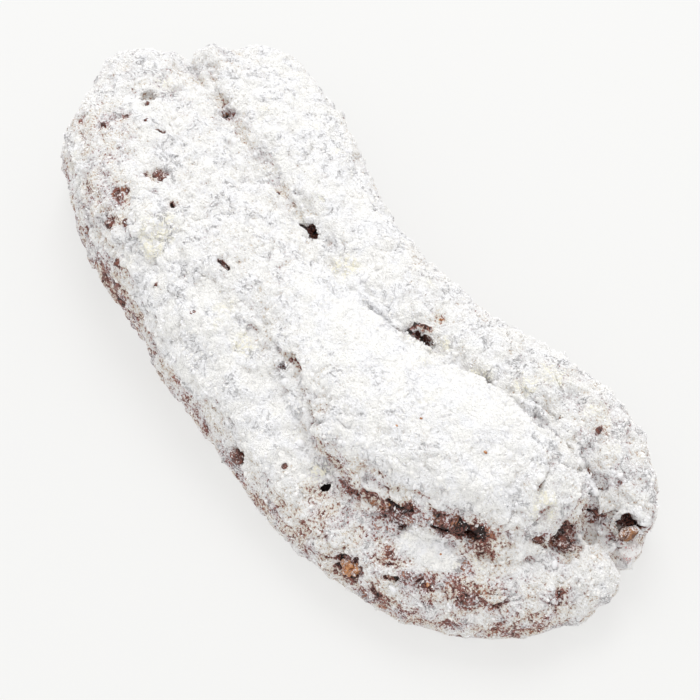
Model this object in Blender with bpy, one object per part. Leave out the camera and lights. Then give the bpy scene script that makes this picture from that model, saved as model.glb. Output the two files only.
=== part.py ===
"""A whole stollen: a heavy fruit loaf, folded from one slab of dough, baked and sugared.

Frame: metres, +Z up, origin at the middle of the flat underside.  X runs along the loaf, which bows
towards -Y.  The dough is four long rolls that bake into one solid: the slab that lies on the tray,
a left and a right roll along its sides, and the fold laid on top.  Fruit is pressed into the crust.
"""
import math

import bmesh
import bpy
import numpy as np
from mathutils import Matrix, Vector
from mathutils.bvhtree import BVHTree

MM = 0.001

# Each roll of dough: stations of x, y, half width and crest height, in millimetres.
SLAB = [(-138, 10, 36, 24), (-85, 6, 46, 26), (-35, -6, 46, 26), (15, -12, 46, 25),
        (65, -8, 50, 24), (105, 0, 47, 23), (139, 8, 34, 24)]
RIGHT_ROLL = [(-134, 46, 24, 42), (-104, 42, 27, 50), (-70, 37, 27, 52), (-38, 28, 25, 52),
              (-8, 21, 24, 51), (22, 20, 24, 50), (52, 23, 24, 50), (82, 31, 24, 50),
              (107, 37, 22, 47), (127, 35, 20, 42), (140, 27, 17, 36), (145, 15, 14, 31)]
LEFT_ROLL = [(-96, -28, 18, 34), (-64, -33, 24, 45), (-38, -35, 27, 51), (-15, -38, 28, 51),
             (20, -41, 27, 44), (50, -42, 27, 37), (80, -41, 26, 33), (105, -34, 25, 32),
             (124, -23, 23, 31), (136, -8, 21, 29), (141, 8, 17, 28), (141, 20, 14, 26)]
FOLD = [(-151, 11, 28, 43), (-128, -3, 35, 52), (-102, -12, 39, 56), (-75, -18, 41, 57),
        (-50, -21, 39, 57), (-28, -21, 35, 56), (-5, -19, 31, 55), (12, -17, 28, 55),
        (36, -18, 28, 57), (65, -17, 31, 61), (90, -9, 31, 62), (112, 2, 26, 56),
        (128, 9, 20, 47), (141, 11, 15, 37)]
ROLL_FOOT = -9.0         # a roll reaches below the tray, where the loaf is then cut flat
ROLL_POWER = 2.4         # 2 is an ellipse, more is squarer
ROLL_STEP = 6.5          # spacing of the sections along a roll
ROLL_SIDES = 30          # points round a section
POINTS_PER_SPAN = 50     # points on the smooth curve between two stations
NOSE_RINGS = 5           # sections that round off each end
NOSE_TIP = 0.12          # angle from a nose's axis at which it is closed flat, in radians
FAR_NOSE, NEAR_NOSE = 22.0, 16.0

# The gap under the lip of the fold, and how low it reaches.
LIP_GAP = [(80, -47, 3, 37), (97, -37, 5, 37), (111, -29, 6, 37), (124, -18, 5, 35),
           (136, -5, 3, 33)]
LIP_GAP_FOOT = 30.0

# Holes in the crust: a point nearby, then length, width, depth and turn in degrees.
HOLES = [((47, 11, 48), 12, 4.5, 9, 12), ((-20, 9, 47), 9, 6, 8, -30), ((25, -39, 47), 5, 4, 6, 20),
         ((70, -52, 33), 6.5, 3, 6, 60), ((110, -54, 25), 6, 4, 5, -30),
         ((150, 25, 31), 10, 8, 10, 60), ((-115, -3, 53), 8, 5, 6, 35)]

# Fruit in the crust: a point nearby, then length, width, height, turn and how deep it is sunk.
FRUIT = {
    'raisin_1': ((-113, -6, 54), 6, 5, 4, 30, 3.4),
    'raisin_2': ((-74, -26, 57), 7, 5.5, 4.5, 20, 1.6),
    'raisin_3': ((-77, -42, 52), 8.5, 5, 4, 5, 1.4),
    'raisin_4': ((-59, -30, 56), 6, 5, 4, 40, 1.5),
    'raisin_5': ((-73, -51, 47), 8, 5, 4, 60, 1.5),
    'raisin_6': ((-22, -31, 55), 9, 5, 4.5, 10, 1.8),
    'raisin_7': ((-15, -51, 46), 7, 5, 4, 50, 1.4),
    'raisin_8': ((35, -68, 23), 7, 6, 4.5, 30, 1.4),
    'raisin_9': ((139, 3, 28), 8.5, 7, 5.5, 20, 0.4),
    'raisin_10': ((135, -6, 32), 8, 6, 5, -40, 1.0),
    'orange_peel': ((96, -63, 19), 10, 8.5, 5, 15, 1.4),
    'almond': ((150, 26, 30), 10, 6.5, 5, 70, 4.0),
    'cherry': ((154, 24, 17), 11, 10, 9, 0, 1.5),
}
FRUIT_RINGS = 7
FRUIT_SIDES = 10
FRUIT_CLEARANCE = 0.35   # all round, between a fruit and its bed
SWELLING = 0.055         # how uneven a fruit or a hole is

# Colour and roughness of each finish.
FINISHES = {'crust': ((0.86, 0.83, 0.80), 0.9), 'raisin': ((0.12, 0.04, 0.03), 0.5),
            'orange': ((0.55, 0.20, 0.06), 0.4), 'almond': ((0.24, 0.10, 0.05), 0.6),
            'cherry': ((0.65, 0.25, 0.25), 0.4)}


def material(name):
    """The plain finish of one kind of piece."""
    colour, roughness = FINISHES[name]
    finish = bpy.data.materials.get(name) or bpy.data.materials.new(name)
    finish.use_nodes = True
    shader = finish.node_tree.nodes['Principled BSDF']
    shader.inputs['Base Color'].default_value = (*colour, 1)
    shader.inputs['Roughness'].default_value = roughness
    shader.inputs['Metallic'].default_value = 0
    return finish


def put_in_scene(name, bm):
    """An object made from a bmesh, which is then freed."""
    mesh = bpy.data.meshes.new(name)
    bm.to_mesh(mesh)
    bm.free()
    mesh.shade_smooth()
    obj = bpy.data.objects.new(name, mesh)
    bpy.context.collection.objects.link(obj)
    return obj


def apply_boolean(target, tool, operation):
    """Join a tool to the target, or cut it away, and leave nothing of the tool."""
    step = target.modifiers.new(operation.lower(), 'BOOLEAN')
    step.operation = operation
    step.object = tool
    seen = target.evaluated_get(bpy.context.evaluated_depsgraph_get())
    target.data = bpy.data.meshes.new_from_object(seen)
    target.modifiers.remove(step)
    bpy.data.objects.remove(tool)


# ---- rolls of dough ----

def through(stations):
    """Closely spaced points on a smooth curve through the stations (Catmull-Rom)."""
    knots = np.array(stations, float)
    knots = np.vstack([2 * knots[0] - knots[1], knots, 2 * knots[-1] - knots[-2]])
    times = np.linspace(0, 1, POINTS_PER_SPAN, endpoint=False)[:, None]
    spans = [0.5 * (2 * b + (c - a) * times + (2 * a - 5 * b + 4 * c - d) * times**2
                    + (3 * b - a - 3 * c + d) * times**3)
             for a, b, c, d in zip(knots, knots[1:], knots[2:], knots[3:])]
    return np.vstack(spans + [knots[-2:-1]])


def section_places(length):
    """Where the sections stand along a roll, and how far each is drawn in to round its ends."""
    angles = np.linspace(NOSE_TIP, math.pi / 2, NOSE_RINGS, endpoint=False)
    far, near = FAR_NOSE * (1 - np.cos(angles)), length - NEAR_NOSE * (1 - np.cos(angles))
    count = round((length - FAR_NOSE - NEAR_NOSE) / ROLL_STEP)
    body = np.linspace(FAR_NOSE, length - NEAR_NOSE, count + 1)
    return (np.concatenate([far, body, near[::-1]]),
            np.concatenate([np.sin(angles), np.ones(len(body)), np.sin(angles[::-1])]))


def roll(name, stations, foot=ROLL_FOOT):
    """A roll of dough: squarish sections bridged along its curve, with a round nose at each end."""
    curve = through(stations)
    run = np.r_[0, np.cumsum(np.linalg.norm(np.diff(curve[:, :2], axis=0), axis=1))]
    turns = np.arange(ROLL_SIDES) / ROLL_SIDES * 2 * math.pi
    sides = np.sign(np.cos(turns)) * np.abs(np.cos(turns)) ** (2 / ROLL_POWER)
    rises = np.sign(np.sin(turns)) * np.abs(np.sin(turns)) ** (2 / ROLL_POWER)
    bm = bmesh.new()
    loops = []
    for place, drawn_in in zip(*section_places(run[-1])):
        x, y, half_width, crest = (np.interp(place, run, column) for column in curve.T)
        beside = [place - ROLL_STEP / 3, place + ROLL_STEP / 3]
        ahead = [np.diff(np.interp(beside, run, curve[:, axis]))[0] for axis in (0, 1)]
        across = np.array([-ahead[1], ahead[0]]) / math.hypot(*ahead)
        reach = half_width * drawn_in
        height = (crest - foot) / 2 * drawn_in
        verts = [bm.verts.new(((x + across[0] * side * reach) * MM,
                               (y + across[1] * side * reach) * MM,
                               ((crest + foot) / 2 + rise * height) * MM))
                 for side, rise in zip(sides, rises)]
        loops.append([bm.edges.new(pair) for pair in zip(verts, verts[1:] + verts[:1])])
    for first, second in zip(loops, loops[1:]):
        bmesh.ops.bridge_loops(bm, edges=first + second)
    bmesh.ops.holes_fill(bm, edges=loops[0] + loops[-1], sides=0)
    bmesh.ops.recalc_face_normals(bm, faces=bm.faces)
    return put_in_scene(name, bm)


def tray():
    """A block whose top is the tray, to cut the underside flat."""
    bm = bmesh.new()
    bmesh.ops.create_cube(bm, size=1)
    bm.transform(Matrix.Translation((0, 0, -0.25)) @ Matrix.Scale(0.5, 4))
    return put_in_scene('tray', bm)


def loaf_of_rolls():
    """The four rolls baked into one body, flat where it lay on the tray."""
    loaf = roll('loaf', SLAB)
    for name, stations in (('right', RIGHT_ROLL), ('left', LEFT_ROLL), ('fold', FOLD)):
        apply_boolean(loaf, roll(name, stations), 'UNION')
    apply_boolean(loaf, tray(), 'DIFFERENCE')
    loaf.data.materials.clear()
    loaf.data.materials.append(material('crust'))
    return loaf


# ---- holes and fruit ----

def crust_of(loaf):
    """A search tree over the loaf's faces."""
    loaf.data.calc_loop_triangles()
    return BVHTree.FromPolygons([vert.co for vert in loaf.data.vertices],
                                [face.vertices for face in loaf.data.loop_triangles])


def place_on(crust, near, turn, sunk=0.0):
    """A frame on the crust nearest to a point, its Z along the crust's normal and its X turned."""
    point, normal, _, _ = crust.find_nearest(Vector(near) * MM)
    ahead = (Vector((1, 0, 0)) - normal * normal.x).normalized()
    ahead.rotate(Matrix.Rotation(math.radians(turn), 3, normal))
    axes = Matrix((ahead, normal.cross(ahead), normal)).transposed()
    return Matrix.Translation(point - normal * sunk * MM) @ axes.to_4x4()


def lump(name, size, at, number):
    """An uneven ellipsoid, swollen in three places round its waist, each number differently."""
    bm = bmesh.new()
    bmesh.ops.create_uvsphere(bm, u_segments=FRUIT_SIDES, v_segments=FRUIT_RINGS, radius=0.5)
    for vert in bm.verts:
        around = math.atan2(vert.co.y, vert.co.x)
        swell = 1 + SWELLING * (math.sin(3 * around + 2 * number) + math.sin(5 * vert.co.z + number))
        vert.co = Vector(side * full * MM * swell for side, full in zip(vert.co, size))
    bm.transform(at)
    return put_in_scene(name, bm)


def open_holes(loaf):
    """The gap under the fold's lip, and the holes that burst open in the oven."""
    apply_boolean(loaf, roll('lip_gap', LIP_GAP, LIP_GAP_FOOT), 'DIFFERENCE')
    crust = crust_of(loaf)
    for number, (near, length, width, depth, turn) in enumerate(HOLES):
        hole = lump('hole', (length, width, 2 * depth), place_on(crust, near, turn), number)
        apply_boolean(loaf, hole, 'DIFFERENCE')


def press_in_fruit(loaf):
    """Each fruit that shows, in a bed slightly larger than it."""
    crust = crust_of(loaf)
    for number, (name, (near, length, width, height, turn, sunk)) in enumerate(FRUIT.items()):
        at = place_on(crust, near, turn, sunk)
        roomy = [side + 2 * FRUIT_CLEARANCE for side in (length, width, height)]
        apply_boolean(loaf, lump('bed', roomy, at, number), 'DIFFERENCE')
        fruit = lump(name, (length, width, height), at, number)
        fruit.data.materials.append(material(name.split('_')[0]))


def centre_on_origin(pieces):
    """Shift every piece alike, so that the origin is the middle of the whole underside."""
    points = np.array([vert.co for piece in pieces for vert in piece.data.vertices])
    middle = (points.min(axis=0) + points.max(axis=0)) / 2
    for piece in pieces:
        piece.data.transform(Matrix.Translation((-middle[0], -middle[1], 0)))


for old in list(bpy.data.objects):
    bpy.data.objects.remove(old)
loaf = loaf_of_rolls()
open_holes(loaf)
press_in_fruit(loaf)
centre_on_origin(list(bpy.data.objects))
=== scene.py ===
"""A whole stollen: a folded loaf of fruit dough, buttered after baking and buried in powdered sugar."""
import itertools
import math

import bmesh
import bpy
import numpy as np
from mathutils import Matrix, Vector


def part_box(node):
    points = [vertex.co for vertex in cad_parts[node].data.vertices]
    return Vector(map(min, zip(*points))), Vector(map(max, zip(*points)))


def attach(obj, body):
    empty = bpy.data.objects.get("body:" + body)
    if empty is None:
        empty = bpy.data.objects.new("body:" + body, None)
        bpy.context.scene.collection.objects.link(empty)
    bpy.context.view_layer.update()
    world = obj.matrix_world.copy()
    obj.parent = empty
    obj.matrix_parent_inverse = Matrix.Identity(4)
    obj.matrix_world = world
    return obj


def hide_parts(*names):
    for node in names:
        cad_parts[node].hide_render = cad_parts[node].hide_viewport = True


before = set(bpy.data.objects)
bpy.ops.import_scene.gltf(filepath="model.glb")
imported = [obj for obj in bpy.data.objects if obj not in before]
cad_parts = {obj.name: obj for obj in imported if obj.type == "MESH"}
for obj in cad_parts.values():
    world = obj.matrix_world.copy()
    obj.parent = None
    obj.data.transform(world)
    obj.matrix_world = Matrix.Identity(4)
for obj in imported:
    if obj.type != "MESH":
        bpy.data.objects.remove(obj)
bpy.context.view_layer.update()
MM = 0.001


# ==== The loaf ====
# One heavy lump of yeast dough: a slab with a roll along each side and a fold laid over the top.
# It bakes to a rough, nubbly brown crust that splits where the fold's lip lifts off the left roll,
# and bakes round the fruit that lies near the surface.

SKIN_CELL = 0.62 * MM      # side of the small squares that carry the crust's relief
SKIN_FACES = 196000        # triangles kept of them once the relief is on


def even_skin(meshes, cell):
    """Solids joined under one even net of small squares."""
    bm = bmesh.new()
    for mesh in meshes:
        bm.from_mesh(mesh)
    joined = bpy.data.meshes.new("net")
    bm.to_mesh(joined)
    bm.free()
    holder = bpy.data.objects.new("net", joined)
    bpy.context.scene.collection.objects.link(holder)
    net = holder.modifiers.new("net", "REMESH")
    net.mode = "VOXEL"
    net.voxel_size = cell
    result = bpy.data.meshes.new_from_object(holder.evaluated_get(bpy.context.evaluated_depsgraph_get()))
    bpy.data.objects.remove(holder)
    bpy.data.meshes.remove(joined)
    return result


def thinned(mesh, share, region=None):
    """The same skin with this share of its faces, taken out where they matter least."""
    holder = bpy.data.objects.new("thinned", mesh)
    bpy.context.scene.collection.objects.link(holder)
    thin = holder.modifiers.new("thin", "DECIMATE")
    thin.ratio = share
    if region is not None:
        holder.vertex_groups.new(name="region").add(region, 1, "REPLACE")
        thin.vertex_group = "region"
    result = bpy.data.meshes.new_from_object(holder.evaluated_get(bpy.context.evaluated_depsgraph_get()))
    bpy.data.objects.remove(holder)
    bpy.data.meshes.remove(mesh)
    return result


def places_of(mesh):
    """A mesh's points, one row each."""
    flat = np.empty(len(mesh.vertices) * 3)
    mesh.vertices.foreach_get("co", flat)
    return flat.reshape(-1, 3)


def outward(mesh, points):
    """Moves a mesh's points to these places and gives the direction out of it at each."""
    mesh.vertices.foreach_set("co", points.ravel())
    mesh.update()
    flat = np.empty(len(points) * 3)
    mesh.vertex_normals.foreach_get("vector", flat)
    return flat.reshape(-1, 3)


def neighbours_of(mesh):
    """Both ends of every edge, and how many edges meet at each point."""
    flat = np.empty(len(mesh.edges) * 2, dtype=int)
    mesh.edges.foreach_get("vertices", flat)
    one, other = flat.reshape(-1, 2).T
    return one, other, np.bincount(flat, minlength=len(mesh.vertices))


def relaxed(values, net, times):
    """Values or places evened out with their neighbours' this many times."""
    one, other, count = net
    columns = values.reshape(len(count), -1).astype(float)
    for _ in range(times):
        for column in columns.T:
            total = np.bincount(one, column[other], len(count)) + np.bincount(other, column[one], len(count))
            column += (total / count - column) * 0.5
    return columns.reshape(values.shape)


def hashed(cells, seed):
    """A number from 0 to 255 for each cell of a grid, always the same for the same cell."""
    order = np.random.default_rng(seed).permutation(256)
    x, y, z = cells.T
    return order[(order[(order[x & 255] + y) & 255] + z) & 255]


def wander(points, size, seed):
    """Smooth uneven heights between about -1 and 1, in lumps about this far apart."""
    rng = np.random.default_rng(seed)
    ways = rng.normal(size=(256, 3))
    ways /= np.linalg.norm(ways, axis=1)[:, None]
    at = points / (size * MM) + rng.uniform(0, 50, 3)
    low = np.floor(at).astype(int)
    into = at - low
    ease = into ** 3 * (into * (into * 6 - 15) + 10)
    total = np.zeros(len(points))
    for corner in itertools.product((0, 1), repeat=3):
        share = np.prod(np.where(corner, ease, 1 - ease), axis=1)
        total += share * ((into - corner) * ways[hashed(low + corner, seed)]).sum(1)
    return total * 1.7


def clods(points, size, seed):
    """Lumps about this far apart: how far into its own lump each point is (1 on top, 0 in the
    clefts between lumps), and a height from -1 to 1 that is the lump's own."""
    rng = np.random.default_rng(seed)
    jitter = rng.uniform(0.05, 0.95, (256, 3))
    heights = rng.uniform(-1, 1, 256)
    at = points / (size * MM)
    low = np.floor(at).astype(int)
    first = np.full(len(points), 9.0)
    second = np.full(len(points), 9.0)
    height = np.zeros(len(points))
    for corner in itertools.product((-1, 0, 1), repeat=3):
        cell = low + corner
        pick = hashed(cell, seed)
        gap = np.linalg.norm(cell + jitter[pick] - at, axis=1)
        height = np.where(gap < first, heights[pick], height)
        second = np.minimum(second, np.maximum(first, gap))
        first = np.minimum(first, gap)
    return np.clip((second - first) * 2, 0, 1), height


def ramp(values, low, high):
    """0 below low, 1 above high, and a smooth rise between them."""
    share = np.clip((values - low) / (high - low), 0, 1)
    return share * share * (3 - 2 * share)


def along(points, line):
    """Distance in millimetres from a line through places, and the side: above 0 to its left, in plan."""
    best = np.full(len(points), np.inf)
    side = np.zeros(len(points))
    line = np.array(line, float) * MM
    for start, end in zip(line, line[1:]):
        way = end - start
        part = np.clip(((points - start) @ way) / (way @ way), 0, 1)
        gap = points - start - part[:, None] * way
        far = np.linalg.norm(gap, axis=1)
        near = far < best
        best = np.where(near, far, best)
        side = np.where(near, way[0] * gap[:, 1] - way[1] * gap[:, 0], side)
    return best / MM, np.sign(side)


def near(points, place, radius):
    """1 at a place in millimetres, falling smoothly to 0 at this radius."""
    return 1 - ramp(np.linalg.norm(points / MM - place, axis=1), 0, radius)


def ledges(points, size, steps, seed):
    """The same uneven heights as wander, but in torn ledges, this many to a full rise."""
    height = wander(points, size, seed) * steps
    whole = np.floor(height)
    return (whole + ramp(height - whole, 0.55, 1.0)) / steps


# places along the creases, in millimetres
RIGHT_CREASE = [(-120, 29, 42), (-104, 22, 44), (-78, 16, 46), (-55, 13, 46), (-20, 8, 44), (28, 7, 47),
                (58, 11, 48), (75, 12, 52), (84, 19, 48), (96, 25, 47), (119, 27, 42), (137, 22, 33),
                (144, 17, 24)]
LEFT_CREASE = [(16, -34, 52), (31, -36, 51), (45, -41, 48), (58, -46, 41), (73, -46, 38),
               (89, -42, 39)]
LIP = [(78, -44, 39), (89, -42, 40), (101, -34, 46), (112, -25, 48), (122, -17, 45), (132, -8, 37)]
NOSE_ARCH = [(125, 1, 49), (123, 5, 50), (120, 9, 51), (119, 14, 49), (121, 17, 47), (124, 24, 39)]
NOSE_SIDE = [(125, 1, 49), (128, -2, 46), (132, -1, 40), (136, 10, 33)]
END_STRIPS = [[(134, 16, 35), (137, 17, 27), (142, 14, 22), (149, 8, 25), (154, 4, 22)],
              [(143, 22, 30), (147, 19, 24), (150, 18, 13), (154, 12, 12)]]
ROLL_LEDGE = [(39, 27, 49), (48, 34, 48), (67, 36, 49), (79, 39, 49), (98, 35, 48)]
ROLL_GROOVE = [(102, 39, 48), (108, 37, 46), (112, 33, 45)]
FAR_RIDGE = [(-126, -25, 51), (-110, -33, 52), (-100, -38, 51), (-92, -46, 49)]
HUMP_VALLEY = [(87, -14, 62), (95, -16, 61), (101, -12, 60), (108, -4, 58), (112, 0, 56)]

FRUIT = [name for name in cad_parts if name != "loaf"]

# lumps of dough that swelled into the gap under the lip: middle and radius, in millimetres
PLUG = [((80, -47, 32), 2.6), ((85, -45, 33), 3.0), ((90, -42, 33), 3.3), ((96, -39, 34), 3.6), ((102, -35, 34), 4.2),
        ((107, -32, 34), 3.8), ((112, -29, 32), 3.6), ((117, -26, 31), 3.4), ((122, -22, 31), 4.2),
        ((126, -18, 32), 4.8), ((130, -13, 31), 4.6), ((133, -9, 30), 3.8),
        ((121, 4, 46), 4.6), ((123, 0, 44), 4.4), ((126, -1, 43), 4.0), ((119, 9, 45), 4.0)]

plug = bmesh.new()
for place, radius in PLUG:
    made = bmesh.ops.create_icosphere(plug, subdivisions=3, radius=radius * MM)
    bmesh.ops.translate(plug, verts=made["verts"], vec=Vector(place) * MM)
plug_mesh = bpy.data.meshes.new("plug")
plug.to_mesh(plug_mesh)
plug.free()

solids = [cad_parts[name].data for name in ["loaf"] + FRUIT]
skin = even_skin(solids + [plug_mesh], SKIN_CELL)
import time; t0 = time.time()
spots = places_of(skin)
base = np.flatnonzero((spots[:, 2] < 0.1 * MM) & (outward(skin, spots)[:, 2] < -0.99))
skin = thinned(skin, 1 - 0.95 * len(base) / len(spots), base.tolist())
spots = places_of(skin)
net = neighbours_of(skin)
print('SKIN', len(base), len(skin.vertices), sum(len(p.vertices) - 2 for p in skin.polygons), time.time() - t0)
spots = relaxed(spots, net, 16)
spots[:, 2] = np.maximum(spots[:, 2], 0)
out = outward(skin, spots)
lift = np.zeros(len(spots))        # how far each point moves out, in millimetres


def step_down(line, low_side, drop, drop_width, edge, edge_width):
    """A fold's edge along a line: the surface drops on one side and curls up on the other."""
    gap, side = along(spots, line)
    low = side == low_side
    return np.where(low, -drop * np.exp(-(gap / drop_width) ** 2), edge * np.exp(-(gap / edge_width) ** 2))


def groove(line, depth, width):
    """A soft-sided groove along a line, or a ridge where the depth is below 0."""
    return -depth * np.exp(-(along(spots, line)[0] / width) ** 2)


# broad swells and dips that the rolled dough took in the oven: place, reach and push, in millimetres
SWELLS = [((-148, 14, 40), 34, (-4, 2, 8)),        # the far end stands full and blunt
          ((-146, -22, 30), 28, (8, 8, 0)),        # its outer corner is rounder
          ((-118, -46, 16), 30, (1, 3, 0)),
          ((-138, 32, 40), 20, (-2, 2, 5)),        # and the notch between the rolls is shallow
          ((-129, 33, 36), 19, (-3, 1, 8)),
          ((152, 4, 12), 20, (3.5, 0, 0)),         # the near end closes over the slab
          ((155, 13, 14), 15, (3, 1, 2)),
          ((156, 35, 12), 13, (-4, -5, 0)),
          ((160, 26, 20), 14, (-7, 1, 0)),         # the end draws in below the crust's tip
          ((-100, 21, 42), 26, (0, 0, 4)),         # valley between fold and right roll
          ((-70, 15, 42), 26, (0, 0, 4)),
          ((-40, 12, 42), 24, (0, 0, 3)),
          ((-60, -42, 46), 30, (0, 0, 4)),         # valley between fold and left roll
          ((-30, -32, 48), 24, (0, 0, 3))]
for place, radius, push in SWELLS:
    spots = spots + near(spots, place, radius)[:, None] * np.array(push) * MM

# burst bubbles and torn holes draw together to ragged openings: place, reach and how far
HOLES = [((46, 11, 47), 17, 0.74),
         ((-21, 10, 46), 13, 0.55),
         ((24, -38, 46), 10, 0.62),
         ((70, -52, 33), 10, 0.50),
         ((110, -54, 25), 9, 0.40)]
for place, radius, share in HOLES:
    pull = near(spots, place, radius) * share * (1 + 0.5 * wander(spots, 5, 15))
    spots = spots + pull[:, None] * (np.array(place) * MM - spots)

# the creases wander and change depth, as torn dough does
straight = spots
spots = spots + 2.0 * MM * np.stack([wander(spots, 14, seed) for seed in (11, 12, 13)], axis=1)
uneven = 0.75 + 0.9 * wander(straight, 12, 14)
lift += step_down(RIGHT_CREASE, 1, 2.8, 6, 1.3, 2.2) * uneven
lift += step_down(LEFT_CREASE, -1, 1.9, 6, 0.5, 4) * uneven
lift += groove(LIP, -0.8, 3)
lift += step_down(NOSE_ARCH, -1, 0.4, 3, 0.8, 4) + groove(NOSE_ARCH, 1.5, 1.8)
lift += groove(NOSE_SIDE, 1.0, 2.0)
lift += 1.2 * near(spots, (132, 11, 42), 12)
for strip in END_STRIPS:
    lift += groove(strip, 2.0, 1.7)
lift += step_down(ROLL_LEDGE, 1, 1.2, 5, 0.6, 3) * uneven
lift += groove(ROLL_GROOVE, 1.2, 2.5)
lift += groove(FAR_RIDGE, -1.5, 4) * uneven
lift += groove(HUMP_VALLEY, 1.2, 6)
spots = straight + out * (relaxed(lift, net, 2) * MM)[:, None]

# each fruit breaks through the crust in a ragged window: how much of it shows
SHOWN = {"raisin_1": 0.55, "raisin_2": 0.75, "raisin_3": 0.62, "raisin_4": 0.55, "raisin_5": 0.60,
         "raisin_6": 0.55, "raisin_7": 0.40, "raisin_8": 0.62, "raisin_9": 0.95, "raisin_10": 0.50,
         "orange_peel": 0.78, "almond": 0.60, "cherry": 0.45}
window = np.zeros(len(spots))
for name, share in SHOWN.items():
    low, high = (np.array(corner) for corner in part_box(name))
    reach = np.linalg.norm(high - low) / 2
    gap = np.linalg.norm(spots - (low + high) / 2, axis=1) / reach
    window = np.maximum(window, ramp(1.35 * share - gap + 0.40 * wander(spots, 3.2, 16), 0, 0.2))

# the crust itself: waves and lumps of dough, torn plates, then nubs and grains
out = outward(skin, spots)
warped = spots + 3.5 * MM * np.stack([wander(spots, 7, seed) for seed in (21, 22, 23)], axis=1)
clod, clod_height = clods(warped, 9, 24)
nub, nub_height = clods(warped, 4.5, 25)
crust = 1.3 * wander(spots, 34, 1) + 1.0 * wander(spots, 17, 2)
crust += 1.0 * ledges(warped, 9, 3, 3) + 0.7 * ledges(warped, 5.2, 2.2, 4)
for size, height, seed in ((9, 0.3, 3), (5.2, 0.3, 4), (3.2, 0.55, 5), (2.1, 0.42, 6), (1.5, 0.28, 7)):
    crust += height * wander(warped, size, seed)
crust += 0.45 * ramp(clod, 0, 0.25) * clod_height + 0.30 * ramp(nub, 0, 0.35) * nub_height
crust -= 0.8 * (1 - ramp(clod, 0, 0.22)) * ramp(wander(spots, 15, 26), 0.0, 0.5)
crust -= 1.2 * ramp(wander(warped, 4.0, 27), 0.75, 1.15)
crust -= 1.6 * window

# pits and slits torn right through it: ends, half width and depth, in millimetres
PITS = [([(-115, -5, 55), (-113, -3, 55)], 1.3, 5.0),
        ([(38, 5, 47), (45, 11, 46)], 0.8, 3.0),
        ([(-24, -32, 57), (-23, -31, 56)], 0.6, 3.5),
        ([(-22, -31, 55), (-19, -31, 54)], 0.7, 2.5),
        ([(-25, 8, 45), (-22, 10, 44)], 1.0, 3.0),
        ([(92, -41, 40), (100, -37, 40)], 0.7, 3.5),
        ([(107, -32, 36), (113, -28, 35), (121, -22, 34)], 0.55, 4.0),
        ([(109, -55, 25), (112, -53, 26)], 0.8, 4.0),
        ([(68, -52, 31), (70, -50, 30)], 0.8, 4.0),
        ([(-86, -56, 34), (-83, -57, 33)], 1.0, 3.0),
        ([(-58, -30, 58), (-56, -31, 57)], 0.6, 2.5),
        ([(-96, -12, 57), (-92, -10, 56)], 0.4, 1.5),
        ([(147, 31, 27), (151, 30, 27)], 0.9, 4.0),
        ([(136, 18, 29), (138, 20, 29)], 0.6, 2.5),
        ([(-108, 40, 52), (-106, 42, 52)], 0.7, 2.5)]


def torn_at(points):
    """1 in the pits and slits and 0 elsewhere, and how deep each point lies there."""
    torn = np.zeros(len(points))
    deep = np.zeros(len(points))
    for line, half_width, depth in PITS:
        gap = along(points, line)[0] + 0.5 * half_width * wander(points, 2.2, 17)
        here = 1 - ramp(gap, 0.5 * half_width, 1.5 * half_width)
        torn = np.maximum(torn, here)
        deep = np.maximum(deep, depth * here)
    return torn, deep


def on_crust(place):
    """The place on the crust that lies nearest to this one, in millimetres."""
    return spots[np.argmin(((spots / MM - place) ** 2).sum(1))] / MM


PITS = [([on_crust(end) for end in line], half_width, depth) for line, half_width, depth in PITS]
torn, deep = torn_at(spots)
crust -= deep
above = ramp(spots[:, 2] / MM, 0, 5)
spots = spots + out * (crust * above * MM)[:, None]
spots[:, 2] -= 0.35 * np.maximum(spots[:, 2] - 58 * MM, 0)        # the top settles flat in the oven

# open sky over each point: how much of the sugar sifted from above can reach it
ROOF_CELL = 0.9 * MM
low_corner = spots[:, :2].min(0) - 45 * MM
roof = np.zeros(np.ceil((spots[:, :2].max(0) + 45 * MM - low_corner) / ROOF_CELL).astype(int))
cells = ((spots[:, :2] - low_corner) / ROOF_CELL).astype(int)
np.maximum.at(roof, tuple(cells.T), spots[:, 2])
sky = np.zeros(len(spots))
SIFTS = [(0, 0)] + [(lean * math.cos(turn), lean * math.sin(turn))
                    for lean in (0.45, 1.1) for turn in np.arange(6) * math.pi / 3 + lean]
for lean_x, lean_y in SIFTS:
    clear = np.ones(len(spots), bool)
    for climb in (1.5, 3, 5, 8, 12, 18, 27, 38):
        at = spots[:, :2] + np.array([lean_x, lean_y]) * climb * MM
        cell = ((at - low_corner) / ROOF_CELL).astype(int)
        cell = np.clip(cell, 0, np.array(roof.shape) - 1)
        clear &= roof[tuple(cell.T)] < spots[:, 2] + (climb + 0.5) * MM
    sky += clear / len(SIFTS)
sky = relaxed(sky, net, 2)

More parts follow.
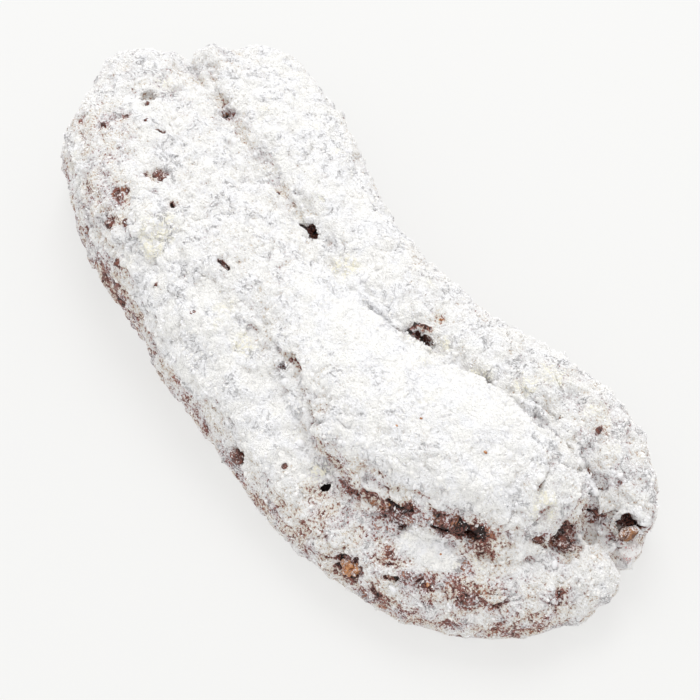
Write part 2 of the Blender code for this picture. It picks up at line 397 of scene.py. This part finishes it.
# where sugar fell thick (above 0) and where it fell thin or was brushed off: places, reach, amount
PATCHES = [([(60, -64, 24), (90, -62, 22), (118, -54, 22), (140, -38, 20), (152, -18, 16)], 16, -0.14),
           ([(75, -54, 31), (95, -48, 36), (112, -45, 32), (132, -34, 30)], 16, -0.27),
           ([(132, -34, 30), (146, -20, 26), (150, -6, 24)], 14, -0.16),
           ([(60, -38, 54), (85, -34, 52), (105, -22, 52), (120, -12, 50)], 10, 0.22),
           ([(90, -42, 38), (102, -35, 38), (116, -27, 36), (126, -18, 34)], 7, -0.25),
           ([(110, -31, 38), (117, -26, 38), (122, -21, 37)], 8, -0.35),
           ([(-120, -26, 48), (-105, -28, 54), (-92, -38, 53), (-80, -46, 50)], 17, -0.27),
           ([(-130, -4, 46), (-118, 2, 51), (-122, 42, 46), (-105, 42, 50)], 12, -0.12),
           ([(-76, -60, 24), (-62, -60, 28), (-48, -62, 24)], 7, -0.12),
           ([(146, 8, 24), (150, 14, 22)], 12, -0.08),
           ([(150, 23, 16), (152, 27, 10), (151, 33, 12)], 8, 0.24),
           ([(90, 32, 47), (112, 38, 44), (130, 40, 40)], 20, -0.14),
           ([(-100, 22, 46), (-84, 19, 47), (-60, 16, 47), (-30, 12, 46)], 6, -0.20),
           ([(20, -5, 58), (60, -8, 62), (95, 4, 60)], 34, 0.25),
           ([(-100, 45, 48), (-40, 32, 50), (0, 30, 50)], 24, 0.12),
           ([(-40, -52, 45), (10, -55, 42), (40, -56, 36)], 26, 0.22),
           ([(106, -41, 31), (111, -38, 32), (117, -37, 31)], 8, 0.75)]

# spots where the crust shows through in specks, with the reach of each
BARE = [((-112, -27, 55), 4), ((-109, -18, 56), 3), ((-102, -13, 57), 3), ((-110, -7, 55), 4),
        ((-94, -11, 56), 3), ((-76, -43, 53), 6), ((-57, -30, 58), 4.5), ((-71, -52, 49), 5),
        ((-65, -48, 52), 4.5), ((-85, -56, 34), 4), ((-57, -58, 42), 5), ((-36, -54, 47), 4),
        ((-22, -31, 55), 5), ((-13, -53, 50), 3.5), ((33, -67, 19), 5), ((54, -59, 34), 4),
        ((94, -40, 40), 4), ((99, -37, 42), 5), ((114, -28, 40), 6), ((120, -22, 38), 6),
        ((133, -39, 24), 5), ((147, -27, 5), 5), ((152, -9, 23), 5), ((108, -59, 16), 4), ((94, -61, 15), 7),
        ((135, 17, 33), 3.5), ((46, 21, 49), 5), ((-23, 13, 43), 9), ((44, 12, 44), 5), ((23, -38, 43), 4),
        ((138, 4, 29), 5), ((146, 30, 24), 5.5), ((146, 28, 20), 4), ((118, 37, 45), 4), ((-97, 42, 50), 4), ((-106, 40, 52), 4),
        ((-69, -60, 21), 6), ((-57, -60, 20), 6), ((120, -46, 27), 6), ((127, -40, 28), 5), ((104, -50, 30), 6)]

out = outward(skin, spots)
sheltered = np.maximum(0.5 + 0.5 * out[:, 2] - sky - 0.22, 0)        # less sky than its slope would see
sugar = (0.34 + 0.36 * sky + 0.19 * out[:, 2] - 0.45 * relaxed(sheltered, net, 1) + 0.08 * wander(spots, 24, 31) + 0.12 * wander(spots, 10, 32)
         + 0.10 * wander(warped, 4.5, 33) - 0.08 * (1 - ramp(np.minimum(nub, clod), 0, 0.3)))
for line, reach, amount in PATCHES:
    sugar += amount * (1 - ramp(along(spots, line)[0] + 2.5 * wander(spots, 6, 34), 0.3 * reach, reach))
for place, reach in BARE:
    sugar -= 0.44 * near(spots, place, reach)
# the last term strips the sugar from pits and slits, which the crust material then paints near black as painted shade
sugar += 0.25 * (1 - ramp(spots[:, 2] / MM, 4, 12)) - 0.30 * window - 1.2 * torn
print('SUGAR', np.percentile(sugar, [1, 10, 25, 50, 75, 90, 99]))

# where butter soaked the sugar to a pale yellow paste: places and reach
BUTTERED = [((-51, -41, 56), 13), ((-47, -48, 53), 9), ((-108, -40, 40), 9), ((88, 27, 49), 8), ((91, 39, 48), 11),
            ((130, 0, 45), 10), ((65, -51, 34), 8), ((8, -43, 46), 8), ((55, 14, 48), 7), ((75, 16, 47), 9),
            ((3, 9, 48), 9), ((-118, 6, 50), 9), ((112, 42, 44), 9), ((126, -30, 30), 9), ((-30, 20, 48), 8)]
butter = 0.6 * ramp(wander(spots, 13, 41) + 0.5 * wander(spots, 5, 42), 0.55, 1.0)
for place, reach in BUTTERED:
    butter = np.maximum(butter, ramp(near(spots, place, reach) + 0.3 * wander(spots, 4, 43), 0.15, 0.6))

coat = ramp(sugar, 0.45, 1.0)
spots = spots + out * (coat * above * 0.6 * MM)[:, None]
even = relaxed(spots, net, 2)
spots = spots + (even - spots) * (0.6 * coat)[:, None]
clump, clump_height = clods(spots, 2.3, 35)
spots = spots + out * (coat * above * (0.20 * clump * clump_height + 0.12 * wander(spots, 1.6, 36)) * MM)[:, None]
spots[:, 2] = np.maximum(spots[:, 2], 0)
out = outward(skin, spots)
hollow = ((relaxed(spots, net, 5) - spots) * out).sum(1) / MM
# deep holes lose their sugar here too, and get the same near-black painted shade
sugar -= 1.0 * ramp(relaxed(hollow, net, 2), 0.36, 0.75)        # none reaches the floor of a deep hole


def keep(mesh, name, values):
    """Stores one value for each point of a mesh, for its material to read."""
    layer = mesh.attributes.new(name, "FLOAT", "POINT")
    layer.data.foreach_set("value", values.astype(np.float32))


print('HOLLOW', np.percentile(hollow, [1, 10, 25, 50, 75, 90, 99]))
keep(skin, "sugar", sugar)
keep(skin, "butter", butter)
keep(skin, "hollow", hollow)
t0 = time.time()
skin = thinned(skin, SKIN_FACES / (2 * len(skin.polygons)))
print('SKIN thinned', len(skin.vertices), len(skin.polygons), time.time() - t0, list(skin.attributes.keys()))


class Finish:
    """A material put together from nodes, with its shader at the end."""

    def __init__(self, name):
        self.material = bpy.data.materials.new(name)
        self.material.use_nodes = True
        self.tree = self.material.node_tree
        self.shader = self.tree.nodes["Principled BSDF"]

    def node(self, kind, inputs=(), output=0, **settings):
        """A node with its inputs set or linked; gives one of its outputs."""
        node = self.tree.nodes.new(kind)
        for name, value in settings.items():
            setattr(node, name, value)
        for socket, value in dict(inputs).items():
            if isinstance(value, bpy.types.NodeSocket):
                self.tree.links.new(value, node.inputs[socket])
            else:
                node.inputs[socket].default_value = value
        return node.outputs[output]

    def stored(self, name):
        """A value kept on the mesh's points."""
        return self.node("ShaderNodeAttribute", output=2, attribute_name=name)

    def grain(self, size, detail=2.0, rough=0.6, distort=0.0):
        """Smooth noise, 0 to 1 around a half, in grains of this many millimetres."""
        where = self.node("ShaderNodeTexCoord", output="Object")
        return self.node("ShaderNodeTexNoise", {"Vector": where, "Scale": 1000 / size, "Detail": detail,
                                                "Roughness": rough, "Distortion": distort})

    def maths(self, operation, one, other=0.0, third=0.0):
        """One sum worked on two values or three."""
        return self.node("ShaderNodeMath", {0: one, 1: other, 2: third}, operation=operation)

    def rise(self, value, low, high):
        """0 below low, 1 above high, smooth between."""
        return self.node("ShaderNodeMapRange", {"Value": value, "From Min": low, "From Max": high},
                         interpolation_type="SMOOTHSTEP")

    def blend(self, share, first, second):
        """Two colours mixed: all of the first at 0, all of the second at 1."""
        colours = [c if isinstance(c, bpy.types.NodeSocket) else (*c, 1) for c in (first, second)]
        return self.node("ShaderNodeMix", {0: share, 6: colours[0], 7: colours[1]}, output=2, data_type="RGBA")

    def finish(self, colour, roughness, height, depth):
        """Colour, roughness and relief go to the shader."""
        bump = self.node("ShaderNodeBump", {"Height": height, "Distance": depth * MM, "Strength": 1.0})
        for socket, value in (("Base Color", colour), ("Roughness", roughness), ("Normal", bump)):
            if isinstance(value, bpy.types.NodeSocket):
                self.tree.links.new(value, self.shader.inputs[socket])
            else:
                self.shader.inputs[socket].default_value = value
        return self.material


def sugared_crust():
    """Brown crust under powdered sugar: crust in specks, painted near-black shade in pits and deep holes, dusty round
    them, white where it lies thick, with painted grey shade in hollows and along flake edges.
    """
    look = Finish("sugared_crust")
    fine = look.grain(1.0, 2, 0.6)
    tiny = look.grain(0.55, 1, 0.5)
    speck = look.maths("ADD", look.maths("MULTIPLY", fine, 3.6), look.maths("MULTIPLY", tiny, 1.3))
    speck = look.maths("MULTIPLY_ADD", look.grain(3.4, 2, 0.6), 1.2, speck)
    speck = look.maths("SUBTRACT", speck, 3.0)
    cover = look.maths("MULTIPLY_ADD", look.stored("sugar"), 1.9, speck)
    # painted shade: the hollows of the relief lose sugar cover here, so they look dusty or brown as if in shade
    cover = look.maths("MULTIPLY_ADD", look.stored("hollow"), -0.7, cover)

    tone = look.grain(3.0, 3, 0.7)
    crust = look.blend(look.rise(tone, 0.38, 0.60), (0.12, 0.040, 0.034), (0.30, 0.115, 0.090))
    crust = look.blend(look.rise(look.grain(5, 2), 0.54, 0.72), crust, (0.44, 0.19, 0.10))
    cool = look.rise(look.grain(9, 2, 0.5), 0.40, 0.60)
    dusty = look.blend(cool, (0.52, 0.37, 0.32), (0.46, 0.33, 0.33))
    film = look.blend(cool, (0.76, 0.70, 0.61), (0.74, 0.70, 0.72))
    white = look.blend(cool, (0.965, 0.958, 0.940), (0.935, 0.938, 0.960))
    # painted shade: the white turns grey in the hollows of the relief
    low = look.rise(look.stored("hollow"), 0.02, 0.26)
    white = look.blend(look.maths("MULTIPLY", low, 0.50), white, (0.70, 0.70, 0.71))
    butter_here = look.maths("MULTIPLY", look.stored("butter"), look.rise(look.grain(2.2, 2), 0.35, 0.55))
    white = look.blend(look.maths("MULTIPLY", butter_here, 0.8), white, (0.93, 0.89, 0.72))

    # painted shade: where the sugar is gone, in pits, slits and deep holes, the crust turns near black, darker than
    # any crust tone
    crust_and_pit_shade = look.blend(look.rise(cover, -0.5, -0.05), (0.022, 0.010, 0.008), crust)
    colour = look.blend(look.rise(cover, 0.28, 0.50), crust_and_pit_shade, dusty)
    colour = look.blend(look.rise(cover, 0.48, 0.78), colour, film)
    thick = look.blend(look.rise(cover, 1.15, 2.15), (0.84, 0.835, 0.83), white)
    colour = look.blend(look.rise(cover, 0.80, 1.30), colour, thick)

    # thin flakes of sugared crust, with a grey line of painted shade along each one's edge where the sugar is thin,
    # and a small dip in the relief there
    flake = look.maths("ABSOLUTE", look.maths("SUBTRACT", look.grain(5.5, 4, 0.62, 0.8), 0.5))
    inside = look.rise(look.maths("ADD", flake, look.rise(look.grain(9, 3, 0.6), 0.58, 0.42)), 0.0, 0.028)
    thin = look.maths("SUBTRACT", 1.0, look.rise(look.stored("sugar"), 0.90, 1.30))
    edge = look.maths("MULTIPLY", look.maths("SUBTRACT", 1.0, inside), thin)
    colour = look.blend(look.maths("MULTIPLY", edge, 0.50), colour, (0.58, 0.56, 0.57))
    roughness = look.maths("MULTIPLY_ADD", look.rise(cover, 0.4, 1.0), 0.35, 0.6)
    height = look.maths("ADD", fine, look.maths("MULTIPLY", tiny, 0.5))
    height = look.maths("MULTIPLY_ADD", edge, -0.45, height)
    return look.finish(colour, roughness, height, 1.1)


skin.shade_smooth()
skin.materials.clear()
skin.materials.append(sugared_crust())
loaf = bpy.data.objects.new("loaf_skin", skin)
bpy.context.scene.collection.objects.link(loaf)
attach(loaf, "root")
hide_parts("loaf")


# ==== The fruit ====
# Raisins, a strip of candied peel, an almond and a cherry that lie at the surface. The dough holds
# them; baking shrank their skins into folds, and the sugar sifted over the loaf dusted them too.

def shrunk_fruit(name, fold, depth, seed, size, shift):
    """A fruit with its skin drawn into folds this far apart and this deep, in millimetres, then
    shrunk to this size and sunk by this shift."""
    fruit = even_skin([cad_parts[name].data], 0.30 * MM)
    points = relaxed(places_of(fruit), neighbours_of(fruit), 4)
    middle = points.mean(0)
    way = outward(fruit, points)
    folds = np.sqrt(np.abs(wander(points, fold, seed))) - 0.6
    points = points + way * ((depth * folds + 0.5 * wander(points, 4, seed + 1)) * MM)[:, None]
    points = points + way * ((0.18 * wander(points, 0.9, seed + 2)) * MM)[:, None]
    points = middle + (points - middle) * size + np.array(shift) * MM
    way = outward(fruit, points)
    keep(fruit, "dust", 0.55 * way[:, 2] + 0.5 * wander(points, 2.5, seed + 3)
         + 0.25 * np.linalg.norm((points - middle)[:, :2], axis=1) / (3 * MM) - 2 * torn_at(points)[0])
    return fruit, points


def dusted_fruit(name, deep, light, dusting):
    """Sticky fruit skin, darker and lighter in random patches, under a dusting of sugar."""
    look = Finish(name)
    skin_tone = look.blend(look.rise(look.grain(1.8, 3, 0.7), 0.38, 0.62), deep, light)
    speck = look.maths("ADD", look.maths("MULTIPLY", look.grain(0.7, 3, 0.7), 3.6), dusting - 1.8)
    cover = look.maths("ADD", look.stored("dust"), speck)
    colour = look.blend(look.rise(cover, 0.35, 0.75), skin_tone, (0.62, 0.52, 0.50))
    colour = look.blend(look.rise(cover, 0.65, 1.15), colour, (0.93, 0.92, 0.92))
    roughness = look.maths("MULTIPLY_ADD", look.rise(cover, 0.3, 0.8), 0.5, 0.4)
    return look.finish(colour, roughness, look.grain(0.6, 3, 0.7), 0.35)


# each kind: a slot name, how far apart and how deep its folds are, and its finish
KINDS = {"raisin": ("raisin", 2.4, 1.3,
                    dusted_fruit("raisin_skin", (0.045, 0.014, 0.011), (0.19, 0.055, 0.034), -0.22)),
         "orange_peel": ("candied_peel", 3.0, 1.8,
                         dusted_fruit("candied_peel", (0.30, 0.10, 0.030), (0.66, 0.31, 0.12), -0.05)),
         "almond": ("almond_skin", 3.8, 0.9,
                    dusted_fruit("almond_skin", (0.10, 0.032, 0.012), (0.36, 0.16, 0.060), -0.40)),
         "cherry": ("candied_cherry", 3.4, 1.0,
                    dusted_fruit("candied_cherry", (0.50, 0.09, 0.10), (0.78, 0.36, 0.36), 0.75))}
SUNK = {"cherry": (0.92, (-1.6, 1.0, -1.5)), "almond": (0.95, (-4.5, 0.3, 1.2)),
        "orange_peel": (0.92, (0, 0.6, 0))}
fruit_spots = []
for number, name in enumerate(FRUIT):
    slot, fold, depth, finish = KINDS[name.split("_")[0] if name.startswith("raisin") else name]
    size, shift = SUNK.get(name, (1, (0, 0, 0)))
    mesh, points = shrunk_fruit(name, fold, depth, 61 + 4 * number, size, shift)
    fruit_spots.append(points)
    mesh.shade_smooth()
    mesh.materials.clear()
    mesh.materials.append(finish)
    piece = bpy.data.objects.new(name + "_dusted", mesh)
    bpy.context.scene.collection.objects.link(piece)
    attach(piece, "root")
    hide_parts(name)


# ==== Bits of fruit ====
# Scraps of raisin and flecks of orange zest, cut up with the fruit and kneaded into the dough.
# They show where they break the crust, half sunk in it.

RAISIN_SCRAPS = [((-71, -52, 49), 2.2), ((-66, -48, 52), 1.6), ((-57, -58, 42), 2.0), ((-36, -54, 47), 1.5),
                 ((-102, -13, 57), 1.2), ((-112, -27, 55), 1.6), ((-109, -18, 56), 1.4), ((54, -59, 34), 1.4),
                 ((98, -37, 42), 1.7), ((119, -24, 39), 1.9), ((113, -29, 39), 1.7), ((133, -39, 24), 1.6),
                 ((147, -27, 5), 1.5), ((152, -9, 23), 1.2), ((108, -59, 16), 1.5), ((138, 20, 29), 1.7),
                 ((118, 37, 45), 1.2), ((-97, 42, 50), 1.0), ((121, -47, 27), 1.2), ((104, -50, 30), 1.2),
                 ((-23, 13, 43), 1.6), ((-20, 12, 44), 1.2), ((-110, -7, 55), 1.3)]
ZEST_FLECKS = [((82, -18, 62), 0.6), ((105, -8, 58), 0.8), ((34, -57, 39), 0.6), ((37, -54, 39), 0.5),
               ((121, -47, 28), 0.7), ((77, -26, 59), 0.6), ((93, -41, 39), 1.0), ((46, 21, 49), 1.1),
               ((97, -58, 21), 1.1), ((116, -36, 32), 0.8)]


def scraps(name, places, seed):
    """Crumpled scraps pressed into the crust at these places: each with its half length."""
    rng = np.random.default_rng(seed)
    bm = bmesh.new()
    for place, radius in places:
        nearest = np.argmin(((spots / MM - place) ** 2).sum(1))
        middle = Vector(spots[nearest] - out[nearest] * 0.35 * radius * MM)
        made = bmesh.ops.create_icosphere(bm, subdivisions=3, radius=radius * MM)
        sides = Vector(rng.uniform(0.6, 1.15, 3))
        turned = Vector(rng.normal(size=3)).to_track_quat("Z", "Y")
        for vert in made["verts"]:
            vert.co = middle + turned @ (vert.co * sides)
    mesh = bpy.data.meshes.new(name)
    bm.to_mesh(mesh)
    bm.free()
    points = places_of(mesh)
    way = outward(mesh, points)
    folds = np.sqrt(np.abs(wander(points, 1.5, seed))) - 0.6
    points = points + way * ((0.7 * folds + 0.3 * wander(points, 2.2, seed + 1)) * MM)[:, None]
    way = outward(mesh, points)
    keep(mesh, "dust", 0.45 * way[:, 2] + 0.4 * wander(points, 2.0, seed + 2))
    return mesh


for name, places, kind, seed in (("raisin_scraps", RAISIN_SCRAPS, "raisin", 121),
                                 ("zest_flecks", ZEST_FLECKS, "orange_peel", 131)):
    mesh = scraps(name, places, seed)
    mesh.shade_smooth()
    mesh.materials.append(KINDS[kind][3])
    piece = bpy.data.objects.new(name, mesh)
    bpy.context.scene.collection.objects.link(piece)
    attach(piece, "root")


# ==== Loose sugar ====
# Powdered sugar that caught in the butter as small clots and grains, over crust and drifts alike.

GRAINS = 24000
CLOTS = 6500


def joined(name, shape, places, turns, sizes, jitter):
    """Many small uneven copies of one shape joined into one mesh."""
    count = len(places)
    corners = np.array([v.co for v in shape.verts])
    faces = np.array([[v.index for v in f.verts] for f in shape.faces])
    bodies = corners[None] * jitter[:, :, None] * sizes[:, None, :]
    bodies = np.einsum("nij,nkj->nki", turns, bodies) + places[:, None]
    all_faces = faces[None] + (np.arange(count) * len(corners))[:, None, None]
    mesh = bpy.data.meshes.new(name)
    mesh.from_pydata(bodies.reshape(-1, 3), [], all_faces.reshape(-1, faces.shape[1]).tolist())
    return mesh


def any_turns(rng, count):
    """Turns about any axis, one for each of this many pieces."""
    a, b, c, d = (rng.normal(size=(4, count)) / 1.0)
    length = np.sqrt(a * a + b * b + c * c + d * d)
    a, b, c, d = a / length, b / length, c / length, d / length
    rows = [[1 - 2 * (c * c + d * d), 2 * (b * c - d * a), 2 * (b * d + c * a)],
            [2 * (b * c + d * a), 1 - 2 * (b * b + d * d), 2 * (c * d - b * a)],
            [2 * (b * d - c * a), 2 * (c * d + b * a), 1 - 2 * (b * b + c * c)]]
    return np.moveaxis(np.array(rows), 2, 0)


def scatter(rng, chance, count):
    """Random places on the skin, where chance gives each point's weight."""
    pick = rng.choice(len(spots), count, p=chance / chance.sum())
    return pick, spots[pick] + rng.uniform(-0.3, 0.3, (count, 3)) * MM


def powdered_sugar():
    """Matt white powder, a little uneven in tone."""
    look = Finish("powdered_sugar")
    tone = look.grain(6, 3, 0.6)
    colour = look.blend(look.rise(tone, 0.4, 0.6), (0.95, 0.94, 0.92), (0.92, 0.92, 0.94))
    return look.finish(colour, 0.95, look.grain(0.4, 2, 0.7), 0.2)


sugar_look = powdered_sugar()
rng = np.random.default_rng(51)
shown = ramp(spots[:, 2] / MM, 0.2, 1.5) * (1 - window)
for name, count, fineness, size, sunk, chance in (
        ("sugar_grains", GRAINS, 0, 0.27, 0.1, shown * (0.35 + np.clip(sugar, 0.1, 0.8)) * (0.3 + sky)),
        ("sugar_clots", CLOTS, 1, 0.52, 0.45, shown * np.clip(sugar - 0.3, 0.01, 0.6) ** 1.5 * sky)):
    pick, places = scatter(rng, chance, count)
    bm = bmesh.new()
    bmesh.ops.create_icosphere(bm, subdivisions=1, radius=1)
    if not fineness:
        bm.clear()
        tips = [bm.verts.new(c) for c in ((1, 0, 0), (0, 1, 0), (-1, 0, 0), (0, -1, 0), (0, 0, 1), (0, 0, -1))]
        for k in range(4):
            bm.faces.new((tips[k], tips[(k + 1) % 4], tips[4]))
            bm.faces.new((tips[(k + 1) % 4], tips[k], tips[5]))
    bm.verts.index_update()
    widths = size * MM * np.exp(rng.normal(0, 0.42, count))
    sizes = widths[:, None] * rng.uniform(0.55, 1.35, (count, 3))
    jitter = rng.uniform(0.65, 1.35, (count, len(bm.verts)))
    places = places - out[pick] * (widths * sunk)[:, None]
    mesh = joined(name, bm, places, any_turns(rng, count), sizes, jitter)
    bm.free()
    if fineness:
        mesh.shade_smooth()
    mesh.materials.append(sugar_look)
    piece = bpy.data.objects.new(name, mesh)
    bpy.context.scene.collection.objects.link(piece)
    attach(piece, "root")


# ==== Table, light and camera ====
# A plain white table under broad daylight from the back right.

def lamp(name, place, size, power, aim=(0, 0, 0.03)):
    """A large soft light that faces the loaf."""
    light = bpy.data.lights.new(name, "AREA")
    light.size = size
    light.energy = power
    holder = bpy.data.objects.new(name, light)
    holder.location = place
    holder.rotation_euler = (Vector(aim) - Vector(place)).to_track_quat("-Z", "Y").to_euler()
    bpy.context.scene.collection.objects.link(holder)


bm = bmesh.new()
bmesh.ops.create_grid(bm, x_segments=1, y_segments=1, size=3)
table_mesh = bpy.data.meshes.new("table")
bm.to_mesh(table_mesh)
bm.free()
table = bpy.data.objects.new("table", table_mesh)
bpy.context.scene.collection.objects.link(table)
table_look = Finish("table_white")
table_look.shader.inputs["Base Color"].default_value = (0.20, 0.20, 0.198, 1)
table_look.shader.inputs["Emission Color"].default_value = (1, 1, 0.99, 1)
table_look.shader.inputs["Emission Strength"].default_value = 0.645
table_look.shader.inputs["Roughness"].default_value = 0.7
table_mesh.materials.append(table_look.material)

lamp("window", (-1.0, 0.85, 2.0), 1.2, 21)

world = bpy.data.worlds.new("room")
bpy.context.scene.world = world
world.use_nodes = True
world.node_tree.nodes["Background"].inputs["Color"].default_value = (1.0, 0.995, 0.985, 1)
world.node_tree.nodes["Background"].inputs["Strength"].default_value = 0.985
bpy.context.scene.view_settings.view_transform = "Standard"

turn, rise, reach = math.radians(52), math.radians(55), 0.63
aim = Vector((0.0239, -0.0051, 0.027))
lens = bpy.data.cameras.new("camera")
lens.lens = 82.8
camera = bpy.data.objects.new("camera", lens)
camera.location = aim + reach * Vector((math.sin(turn) * math.cos(rise),
                                        -math.cos(turn) * math.cos(rise), math.sin(rise)))
camera.rotation_euler = (aim - camera.location).to_track_quat("-Z", "Y").to_euler()
bpy.context.scene.collection.objects.link(camera)
bpy.context.scene.camera = camera
